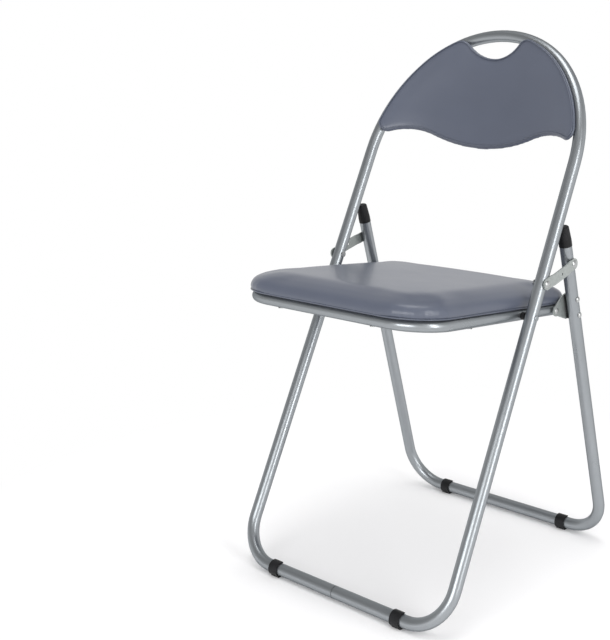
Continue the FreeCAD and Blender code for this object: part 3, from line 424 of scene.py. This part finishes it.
def even_mesh(piece, voxel, rounds, fitted=False):
    """Remeshes a pad to even quads and eases the steps; a fitted pad keeps its exact outline."""
    exact = new_object("exact", piece.data.copy())
    remesh = piece.modifiers.new("even", "REMESH")
    remesh.mode = "VOXEL"
    remesh.voxel_size = voxel
    remesh.use_smooth_shade = True
    ease = piece.modifiers.new("ease", "SMOOTH")
    ease.factor = EASE_FACTOR
    ease.iterations = rounds
    if fitted:
        fit = piece.modifiers.new("fit", "SHRINKWRAP")
        fit.target = exact
        fit.wrap_method = "NEAREST_SURFACEPOINT"
        blend = piece.modifiers.new("blend", "SMOOTH")
        blend.factor = EASE_FACTOR
        blend.iterations = FIT_EASE
    apply_modifiers(piece)
    shape = exact.data
    bpy.data.objects.remove(exact)
    bpy.data.meshes.remove(shape)


def swell(piece, held, pressure, cap):
    """Blows the cover up a little as cloth over foam; no point moves further than cap."""
    scene = bpy.context.scene
    group = piece.vertex_groups.new(name="held")
    group.add([vertex.index for vertex in piece.data.vertices if held(vertex.co)], 1.0, "REPLACE")
    start = [vertex.co.copy() for vertex in piece.data.vertices]
    cloth = piece.modifiers.new("swell", "CLOTH")
    cover = cloth.settings
    cover.quality = 5
    cover.mass = 0.3
    cover.tension_stiffness = 20
    cover.compression_stiffness = 20
    cover.shear_stiffness = 8
    cover.bending_stiffness = 2
    cover.use_pressure = True
    cover.uniform_pressure_force = pressure
    cover.vertex_group_mass = group.name
    cover.effector_weights.gravity = 0
    cloth.point_cache.frame_start = 1
    cloth.point_cache.frame_end = CLOTH_FRAMES
    for number in range(1, CLOTH_FRAMES + 1):
        scene.frame_set(number)
    graph = bpy.context.evaluated_depsgraph_get()
    blown = piece.evaluated_get(graph)
    moved = [vertex.co.copy() for vertex in blown.data.vertices]
    piece.modifiers.remove(cloth)
    moves = []
    for before, after in zip(start, moved):
        move = after - before
        moves.append(move * min(1.0, cap / max(move.length, 1e-9)))
    # The foam below evens out the cover, so neighbouring points share their move
    bm = bmesh.new()
    bm.from_mesh(piece.data)
    bm.verts.ensure_lookup_table()
    around = [[edge.other_vert(vert).index for edge in vert.link_edges] for vert in bm.verts]
    bm.free()
    for _ in range(FOAM_ROUNDS):
        moves = [(move + sum((moves[other] for other in others), Vector())) / (len(others) + 1)
                 for move, others in zip(moves, around)]
    for vertex, before, move in zip(piece.data.vertices, start, moves):
        vertex.co = before + move
    piece.vertex_groups.remove(group)
    scene.frame_set(1)


def subdivide(piece):
    smooth = piece.modifiers.new("smooth", "SUBSURF")
    smooth.levels = 1
    smooth.render_levels = 1


def mark_hem(piece, share):
    """Stores how near each point is to the hem, for the puckers in the vinyl."""
    layer = piece.data.attributes.new("hem", "FLOAT", "POINT")
    for vertex, value in zip(piece.data.vertices, layer.data):
        value.value = share(vertex.co)


def piping(name, points, radius, material, body):
    """A thin closed welt through points."""
    curve = bpy.data.curves.new(name, "CURVE")
    curve.dimensions = "3D"
    curve.bevel_depth = radius
    curve.bevel_resolution = 2
    line = curve.splines.new("POLY")
    line.points.add(len(points) - 1)
    for place, point in zip(line.points, points):
        place.co = (*point, 1.0)
    line.use_cyclic_u = True
    shape = bpy.data.objects.new(name, curve)
    mesh = bpy.data.meshes.new_from_object(shape)
    bpy.data.objects.remove(shape)
    mesh.name = name
    mesh.materials.clear()
    mesh.materials.append(material)
    shade_smooth(mesh)
    piece = new_object(name, mesh)
    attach(piece, body)


def loop_points(bm):
    """The points of a bmesh that is one closed loop of edges, in order."""
    first = bm.verts[:][0]
    edge = first.link_edges[0]
    points = [first.co.copy()]
    vert = edge.other_vert(first)
    while vert is not first:
        points.append(vert.co.copy())
        edge = next(other for other in vert.link_edges if other is not edge)
        vert = edge.other_vert(vert)
    return points


def seat_outline(sizes, inset, height):
    """The seat's rounded outline as one face."""
    bm = bmesh.new()
    bmesh.ops.create_grid(bm, x_segments=1, y_segments=1, size=1.0)
    half = sizes.half_width - inset
    for vert in bm.verts:
        front = vert.co.y < 0
        vert.co = Vector((half if vert.co.x > 0 else -half,
                          -sizes.front + inset if front else sizes.rear - inset, height))
    for is_front, radius in ((True, sizes.front_round), (False, sizes.rear_round)):
        corners = [vert for vert in bm.verts if (vert.co.y < 0) == is_front and len(vert.link_edges) == 2]
        outer = min(vert.co.y for vert in corners) if is_front else max(vert.co.y for vert in corners)
        corners = [vert for vert in corners
                   if abs(vert.co.y - outer) < 1e-6 and abs(abs(vert.co.x) - half) < 1e-6]
        bmesh.ops.bevel(bm, geom=corners, offset=radius - inset, offset_type="OFFSET", affect="VERTICES",
                        segments=SEAT_CORNER_STEPS, profile=0.5, material=-1)
    return bm


class CHAIR_OT_hardware(bpy.types.Operator):
    """Paints the tubes and finishes the links, rivets, feet and panels"""

    bl_idname = "chair.hardware"
    bl_label = "Finish the frame"

    def execute(self, context):
        colours = context.scene.chair_finish
        finishes = {
            "frame_paint": painted_tube(colours.paint),
            "board": panel_cover(colours.underside),
            "link_steel": plated_steel(colours.zinc),
            "rivet_steel": bright_rivet(colours.rivet),
            "bare_steel": plated_steel(shade(colours.zinc, 0.8)),
            "black_plastic": black_plastic(colours.plastic),
        }
        for row in frame["record"]["subparts"]:
            if row["material_slot"] not in finishes:
                continue
            node = frame["nodes"][row["node"]]
            node.data.materials.clear()
            node.data.materials.append(finishes[row["material_slot"]])
            shade_smooth(node.data)
            weld = node.modifiers.new("join", "WELD")
            weld.merge_threshold = 1e-5
            edges = node.modifiers.new("edges", "EDGE_SPLIT")
            edges.split_angle = SHARP_EDGE
        return {"FINISHED"}


class CHAIR_OT_seat(bpy.types.Operator):
    """Makes the padded seat and the welt along its hem"""

    bl_idname = "chair.seat"
    bl_label = "Make the seat"

    def execute(self, context):
        sizes = context.scene.chair_seat
        vinyl = vinyl_cover(context.scene.chair_finish.vinyl)
        low = sizes.underside
        bm = seat_outline(sizes, SEAT_HEM_INSET, low)
        face = bm.faces[:][0]
        extruded = bmesh.ops.extrude_face_region(bm, geom=[face])
        top = next(item for item in extruded["geom"] if isinstance(item, bmesh.types.BMFace))
        bmesh.ops.reverse_faces(bm, faces=[face])
        bmesh.ops.translate(bm, vec=(0, 0, SEAT_HEM_RISE), verts=top.verts)
        for inset, rise in SEAT_SIDE:
            bmesh.ops.inset_region(bm, faces=[top], thickness=inset, depth=rise, use_even_offset=True,
                                   use_boundary=True)
        bmesh.ops.recalc_face_normals(bm, faces=bm.faces)
        cushion = new_piece("seat_pad", bm, vinyl)
        even_mesh(cushion, SEAT_VOXEL, SEAT_EASE)
        swell(cushion, lambda co: co.z < low + SEAT_HELD, SEAT_PRESSURE, sizes.swell)
        for vertex in cushion.data.vertices:
            corner = abs(vertex.co.x) / sizes.half_width * max(0.0, vertex.co.y / sizes.rear)
            vertex.co.z -= sizes.droop * corner ** 3 * max(0.0, vertex.co.z - low) / sizes.height
        mark_hem(cushion, lambda co: max(0.0, 1.0 - abs(co.z - low - PUCKER_MIDDLE) / PUCKER_REACH))
        tilt = Matrix.Translation(SEAT_PIVOT) @ Matrix.Rotation(-SEAT_TILT, 4, "X")
        hem = seat_outline(sizes, SEAT_WELT_INSET, low + SEAT_WELT_RISE)
        points = loop_points(hem)
        hem.free()
        cushion.data.transform(tilt)
        subdivide(cushion)
        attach(cushion, "seat")
        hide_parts("seat_cushion")
        piping("seat_hem_welt", [tilt @ point for point in points], SEAT_WELT_RADIUS, vinyl, "seat")
        return {"FINISHED"}


class BackShape:
    """Works out the back's outline and its dished faces from the settings."""

    def __init__(self, sizes):
        self.sizes = sizes
        side = sizes.side_radius
        across, along = math.cos(HOOP_TURN), math.sin(HOOP_TURN)
        self.top_radius = (sizes.half_width - side * (1 - across)) / across
        self.top_centre = Vector((0, sizes.hoop_start + (side - self.top_radius) * along))
        self.side_centre = Vector((sizes.half_width - side, sizes.hoop_start))
        lobe = sizes.lobe_radius
        lobe_up = sizes.hoop_start + sizes.lobe_rise + lobe
        lobe_x = self.side_centre.x + math.sqrt((side - lobe) ** 2 - (lobe_up - sizes.hoop_start) ** 2)
        self.lobe_centre = Vector((lobe_x, lobe_up))
        notch = sizes.notch_radius
        notch_up = sizes.hoop_start + sizes.notch_rise - notch
        notch_x = lobe_x - math.sqrt((notch + lobe) ** 2 - (lobe_up - notch_up) ** 2)
        self.notch_centre = Vector((notch_x, notch_up))
        drop = sizes.notch_rise - sizes.belly_rise
        self.belly_radius = (notch_x ** 2 + drop ** 2) / (2 * drop) - notch
        self.belly_centre = Vector((0, sizes.hoop_start + sizes.belly_rise + self.belly_radius))
        hand = sizes.hand_half_width
        ear_up = self.top_centre.y + math.sqrt(self.top_radius ** 2 - hand ** 2)
        scoop_low = self.top_centre.y + self.top_radius - sizes.hand_depth
        rise = ear_up - scoop_low
        self.scoop_radius = (hand ** 2 + rise ** 2) / (2 * rise)
        self.scoop_centre = Vector((0, scoop_low + self.scoop_radius))
        # The rounded end of the scoop touches the scoop from outside and the hoop's line from inside
        inner = self.top_radius - sizes.edge_inset - sizes.hand_round
        outer = self.scoop_radius + sizes.edge_inset + sizes.hand_round
        span = self.scoop_centre.y - self.top_centre.y
        above = (inner ** 2 - outer ** 2 + span ** 2) / (2 * span)
        self.ear_centre = Vector((math.sqrt(inner ** 2 - above ** 2), self.top_centre.y + above))

    def arcs(self):
        """Right half from the scoop's bottom to the belly: centre, radius, and whether the arc is hollow."""
        sizes = self.sizes
        return [
            (self.scoop_centre, self.scoop_radius, True),
            (self.ear_centre, sizes.hand_round + sizes.edge_inset, False),
            (self.top_centre, self.top_radius, False),
            (self.side_centre, sizes.side_radius, False),
            (self.lobe_centre, sizes.lobe_radius, False),
            (self.notch_centre, sizes.notch_radius, True),
            (self.belly_centre, self.belly_radius, False),
        ]

    def outline(self, inset, spacing):
        """A bmesh with the closed outline, drawn in by inset, in the X-Z plane."""
        bm = bmesh.new()
        arcs = self.arcs()
        first_centre, first_radius, _ = arcs[0]
        start = Vector((0, first_centre.y - first_radius - inset))
        vert = bm.verts.new((start.x, 0, start.y))
        ends = []
        for (centre, radius, hollow), (after, after_radius, after_hollow) in zip(arcs, arcs[1:]):
            if hollow == after_hollow and radius < after_radius:
                towards = (centre - after).normalized()
            else:
                towards = (after - centre).normalized()
            reach = radius + inset if hollow else radius - inset
            ends.append(centre + towards * reach)
        last_centre, last_radius, _ = arcs[-1]
        ends.append(Vector((0, last_centre.y - last_radius + inset)))
        for (centre, radius, hollow), end in zip(arcs, ends):
            here = Vector((vert.co.x, vert.co.z)) - centre
            there = end - centre
            angle = here.angle(there)
            reach = here.length
            steps = max(3, round(angle * reach / spacing))
            made = bmesh.ops.spin(bm, geom=[vert], cent=(centre.x, 0, centre.y), axis=(0, 1, 0),
                                  angle=-angle if hollow else angle, steps=steps, use_merge=False)
            vert = next(item for item in made["geom_last"] if isinstance(item, bmesh.types.BMVert))
        bmesh.ops.mirror(bm, geom=bm.verts[:] + bm.edges[:], matrix=Matrix.Identity(4), merge_dist=1e-4,
                         axis="X")
        bmesh.ops.remove_doubles(bm, verts=bm.verts, dist=2e-4)
        return bm

    def dish(self, radius, gap, x, up):
        """Depth of a dished face behind the hoop's plane at a point of that plane."""
        across = x * x + (up - self.sizes.hoop_start - self.sizes.dish_rise) ** 2
        return -gap - math.sqrt(radius ** 2 - self.sizes.half_width ** 2) + math.sqrt(radius ** 2 - across)

    def bend(self, co):
        """Carries a point of the flat pad onto the dish; its Y is the height above the flat back."""
        back = self.dish(self.sizes.back_dish, self.sizes.back_gap, co.x, co.z)
        front = self.dish(self.sizes.front_dish, self.sizes.front_gap, co.x, co.z)
        share = -co.y / BACK_FLAT
        return Vector((co.x, back + (front - back) * share, co.z))

    def to_chair(self):
        """From the hoop's plane to the leaning hoop on the chair."""
        return Matrix.Translation(FRONT_BAR) @ Matrix.Rotation(-self.sizes.lean, 4, "X")


class CHAIR_OT_back(bpy.types.Operator):
    """Makes the dished back pad and the welt along its edge"""

    bl_idname = "chair.back"
    bl_label = "Make the back"

    def execute(self, context):
        sizes = context.scene.chair_back
        vinyl = bpy.data.materials["blue_grey_vinyl"]
        shape = BackShape(sizes)
        bm = shape.outline(sizes.edge_inset, BACK_SPACING)
        made = bmesh.ops.contextual_create(bm, geom=bm.edges)
        face = made["faces"][0]
        bmesh.ops.recalc_face_normals(bm, faces=[face])
        if face.normal.y > 0:
            bmesh.ops.reverse_faces(bm, faces=[face])
        extruded = bmesh.ops.extrude_face_region(bm, geom=[face])
        front = next(item for item in extruded["geom"] if isinstance(item, bmesh.types.BMFace))
        bmesh.ops.translate(bm, vec=(0, -(BACK_FLAT - sizes.edge_round), 0), verts=front.verts)
        done = Vector((0.0, 0.0))
        for number in range(1, BACK_RINGS + 1):
            turn = math.pi / 2 * number / BACK_RINGS
            there = Vector(((1 - math.cos(turn)) * sizes.edge_roll, math.sin(turn) * sizes.edge_round))
            bmesh.ops.inset_region(bm, faces=[front], thickness=there.x - done.x, depth=there.y - done.y,
                                   use_even_offset=True, use_boundary=True)
            done = there
        bmesh.ops.recalc_face_normals(bm, faces=bm.faces)
        pad = new_piece("back_pad", bm, vinyl)
        even_mesh(pad, BACK_VOXEL, BACK_EASE, fitted=True)
        swell(pad, lambda co: co.y > -BACK_HELD, BACK_PRESSURE, sizes.swell)
        mark_hem(pad, lambda co: 0.0)
        for vertex in pad.data.vertices:
            vertex.co = shape.bend(vertex.co)
        place = shape.to_chair()
        welt = shape.outline(sizes.edge_inset + BACK_WELT_INSET, BACK_SPACING)
        points = []
        for point in loop_points(welt):
            flat = Vector((point.x, -BACK_FLAT * BACK_WELT_SHARE, point.z))
            points.append(place @ shape.bend(flat))
        welt.free()
        pad.data.transform(place)
        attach(pad, "front_frame")
        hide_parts("backrest_cushion")
        piping("back_edge_welt", points, BACK_WELT_RADIUS, vinyl, "front_frame")
        return {"FINISHED"}


class CHAIR_OT_stage(bpy.types.Operator):
    """Sets the floor, the studio light and the camera"""

    bl_idname = "chair.stage"
    bl_label = "Set the stage"

    def execute(self, context):
        scene = context.scene
        scene.view_settings.view_transform = "Standard"
        self.floor()
        scene.world = self.sky()
        for name, (place, size, power) in LAMPS.items():
            self.lamp(name, place, size, power)
        scene.camera = self.camera()
        return {"FINISHED"}

    def camera(self):
        """The photograph's camera, from its turn about the chair, its height and its roll."""
        camera = bpy.data.cameras.new("photo_camera")
        for name, value in CAMERA.items():
            setattr(camera, name, value)
        level = math.cos(CAMERA_RISE)
        back = Vector((math.sin(CAMERA_TURN) * level, -math.cos(CAMERA_TURN) * level, math.sin(CAMERA_RISE)))
        right = Vector((math.cos(CAMERA_TURN), math.sin(CAMERA_TURN), 0))
        up = back.cross(right)
        rolled = right * math.cos(CAMERA_ROLL) + up * math.sin(CAMERA_ROLL)
        upright = up * math.cos(CAMERA_ROLL) - right * math.sin(CAMERA_ROLL)
        axes = Matrix((rolled, upright, back)).transposed()
        view = new_object("photo_camera", camera)
        view.matrix_world = Matrix.Translation(CAMERA_PLACE) @ axes.to_4x4()
        return view

    def floor(self):
        """Pale floor that keeps the chair's shadow and turns plain white further out."""
        bm = bmesh.new()
        bmesh.ops.create_circle(bm, cap_ends=True, radius=FLOOR_RADIUS, segments=64)
        mesh = bpy.data.meshes.new("floor")
        bm.to_mesh(mesh)
        bm.free()
        new_object("floor", mesh)
        finish = Finish("studio_floor")
        place = finish.place()
        reach = finish.node("ShaderNodeVectorMath", {"operation": "LENGTH"}, {0: place}, "Value")
        paper = finish.node("ShaderNodeBsdfDiffuse", None, {"Color": FLOOR_COLOUR})
        white = finish.node("ShaderNodeEmission", None, {"Color": WHITE, "Strength": 1.0})
        far = finish.between(reach, *FLOOR_FADE)
        seen = finish.ray("Camera")
        for kind in ("Glossy", "Transmission"):
            seen = finish.maths("MAXIMUM", seen, finish.ray(kind))
        blend = finish.node("ShaderNodeMixShader", None, {0: far * seen, 1: paper, 2: white})
        mesh.materials.append(finish.end(blend))

    def sky(self):
        """White backdrop; the studio is darker overhead and to the front left, as the paint mirrors it."""
        studio = Finish("studio", "worlds")
        seen = studio.maths("MAXIMUM", studio.ray("Camera"), studio.ray("Transmission"))
        mirrored = studio.ray("Glossy")
        towards = studio.node("ShaderNodeTexCoord", output="Generated")
        up = studio.node("ShaderNodeVectorMath", {"operation": "DOT_PRODUCT"}, {
            0: towards, 1: (0, 0, 1)}, "Value")
        aside = studio.node("ShaderNodeVectorMath", {"operation": "DOT_PRODUCT"}, {
            0: towards, 1: FRONT_LEFT}, "Value")
        dark = studio.between(up, 0.15, 0.6, 1.0, OVERHEAD_LEVEL) \
            * studio.between(aside, 0.45, 0.95, 1.0, ASIDE_LEVEL)
        plain = studio.between(seen, 0.0, 1.0, SKY_LEVEL, 1.0)
        strength = plain + mirrored * (dark - plain)
        light = studio.node("ShaderNodeBackground", None, {"Color": WHITE, "Strength": strength})
        return studio.end(light, "ShaderNodeOutputWorld")

    def lamp(self, name, place, size, power):
        light = bpy.data.lights.new(name, "AREA")
        light.shape = "RECTANGLE"
        light.size, light.size_y = size
        light.energy = power
        lamp = new_object(name, light)
        lamp.location = place
        lamp.rotation_euler = (LAMP_TARGET - place).to_track_quat("-Z", "Y").to_euler()


class CHAIR_PT_panel(bpy.types.Panel):
    """Lists the chair's steps"""

    bl_idname = "CHAIR_PT_panel"
    bl_label = "Folding chair"
    bl_space_type = "VIEW_3D"
    bl_region_type = "UI"
    bl_category = "Chair"

    def draw(self, context):
        for operator in OPERATORS:
            self.layout.operator(operator.bl_idname)


OPERATORS = (CHAIR_OT_hardware, CHAIR_OT_seat, CHAIR_OT_back, CHAIR_OT_stage)
SETTINGS = {
    "chair_seat": ChairSeatSettings,
    "chair_back": ChairBackSettings,
    "chair_finish": ChairFinishSettings,
}


def register():
    for cls in (*SETTINGS.values(), *OPERATORS, CHAIR_PT_panel):
        bpy.utils.register_class(cls)
    for name, cls in SETTINGS.items():
        setattr(bpy.types.Scene, name, bpy.props.PointerProperty(type=cls))


def unregister():
    for name in SETTINGS:
        delattr(bpy.types.Scene, name)
    for cls in (CHAIR_PT_panel, *reversed(OPERATORS), *SETTINGS.values()):
        bpy.utils.unregister_class(cls)


def main():
    register()
    bpy.ops.chair.hardware()
    bpy.ops.chair.seat()
    bpy.ops.chair.back()
    bpy.ops.chair.stage()
    bpy.context.view_layer.update()


if __name__ == "__main__":
    main()
